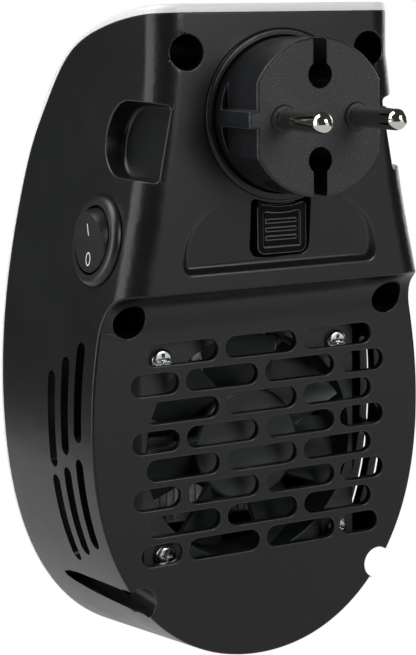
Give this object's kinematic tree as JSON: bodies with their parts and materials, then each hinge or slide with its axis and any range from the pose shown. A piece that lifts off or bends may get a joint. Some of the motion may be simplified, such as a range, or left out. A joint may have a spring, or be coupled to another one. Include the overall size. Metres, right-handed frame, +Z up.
{
  "type": "plug-in fan heater",
  "caption": "Small fan heater that hangs on a wall socket by its own turning plug, with black shell, white front cover, rocker switch, release button, intake grille and hot-air grille.",
  "frame": {"origin": "centre of the plug's face, midway between its two pins", "axes": "+Y out of the back along the pins into the wall socket, +Z up, +X towards the side with the rocker switch"},
  "size_m": [0.0948, 0.1038, 0.1688],
  "materials": {
    "black_plastic": "fine satin moulded ABS",
    "black_gloss_plastic": "smooth satin gloss",
    "white_plastic": "smooth satin",
    "grey_plastic": "light grey moulded, satin",
    "dark_grey_plastic": "dark grey glass-filled polyester, satin",
    "heat_plastic": "glass-filled heat-proof plastic, dull",
    "nickel_plate": "nickel plated brass, bright",
    "brass": "machined",
    "zinc_steel": "zinc plated",
    "spring_steel": "drawn wire",
    "bright_steel": "ground",
    "lacquered_steel": "lacquered laminations",
    "aluminium": "plain mill finish",
    "white_ceramic": "glazed",
    "smoked_window": "smoked clear plastic, glossy",
    "board_green": "solder mask over glass epoxy",
    "relay_plastic": "moulded",
    "capacitor_plastic": "moulded",
    "transformer_plastic": "tape and lacquer"
  },
  "bodies": {
    "plug": {"plug_body": "black_plastic", "plug_pins": "nickel_plate", "plug_terminals": "brass", "plug_cap": "black_plastic"},
    "housing": {"air_duct": "heat_plastic", "board_connector": "white_plastic", "control_board": "board_green", "control_screws": "zinc_steel", "display_module": "black_gloss_plastic", "display_window": "smoked_window", "duct_screws": "zinc_steel", "fan_bearings": "brass", "fan_frame": "dark_grey_plastic", "fan_motor": "lacquered_steel", "fan_screws": "zinc_steel", "film_capacitor": "capacitor_plastic", "front_cover": "white_plastic", "heater_bars": "aluminium", "heater_fins": "aluminium", "heater_frame": "heat_plastic", "heater_terminals": "nickel_plate", "housing_screws": "zinc_steel", "key_switches": "black_plastic", "outlet_grille": "black_plastic", "plug_retainer": "black_plastic", "plug_ring": "black_plastic", "power_board": "board_green", "power_screws": "zinc_steel", "rear_housing": "black_plastic", "relay": "relay_plastic", "release_spring": "spring_steel", "retainer_screws": "zinc_steel", "smoothing_capacitor": "aluminium", "switch_blades": "brass", "switch_body": "black_gloss_plastic", "thermal_cutout": "aluminium", "thermal_fuse": "white_ceramic", "transformer": "transformer_plastic"},
    "release_key": {"release_button": "black_plastic"},
    "rocker": {"switch_rocker": "black_gloss_plastic"},
    "fan": {"fan_rotor": "dark_grey_plastic", "fan_shaft": "bright_steel"},
    "key_timer_body": {"key_timer": "grey_plastic"},
    "key_down_body": {"key_down": "grey_plastic"},
    "key_up_body": {"key_up": "grey_plastic"},
    "key_speed_body": {"key_speed": "grey_plastic"}
  },
  "joints": [
    {"name": "plug_swivel", "type": "hinge", "parent": "plug", "child": "housing", "pos_m": [0, 0, 0], "axis": [0, 1, 0], "range_deg": [-90, 90]},
    {"name": "release_press", "type": "slide", "parent": "housing", "child": "release_key", "axis": [0, -1, 0], "range_m": [0, 0.003], "stiffness_N_per_m": 600, "springref_m": -0.002},
    {"name": "rocker_tilt", "type": "hinge", "parent": "housing", "child": "rocker", "pos_m": [0.03881, -0.03603, -0.02908], "axis": [0.0633, -0.9979, 0.0128], "range_deg": [0, 22]},
    {"name": "fan_spin", "type": "hinge", "parent": "housing", "child": "fan", "pos_m": [0, -0.043, -0.0831], "axis": [0, 1, 0], "continuous": true},
    {"name": "key_timer_press", "type": "slide", "parent": "housing", "child": "key_timer_body", "axis": [0, 1, 0], "range_m": [0, 0.0005], "stiffness_N_per_m": 1500, "springref_m": -0.0004},
    {"name": "key_down_press", "type": "slide", "parent": "housing", "child": "key_down_body", "axis": [0, 1, 0], "range_m": [0, 0.0005], "stiffness_N_per_m": 1500, "springref_m": -0.0004},
    {"name": "key_up_press", "type": "slide", "parent": "housing", "child": "key_up_body", "axis": [0, 1, 0], "range_m": [0, 0.0005], "stiffness_N_per_m": 1500, "springref_m": -0.0004},
    {"name": "key_speed_press", "type": "slide", "parent": "housing", "child": "key_speed_body", "axis": [0, 1, 0], "range_m": [0, 0.0005], "stiffness_N_per_m": 1500, "springref_m": -0.0004}
  ]
}
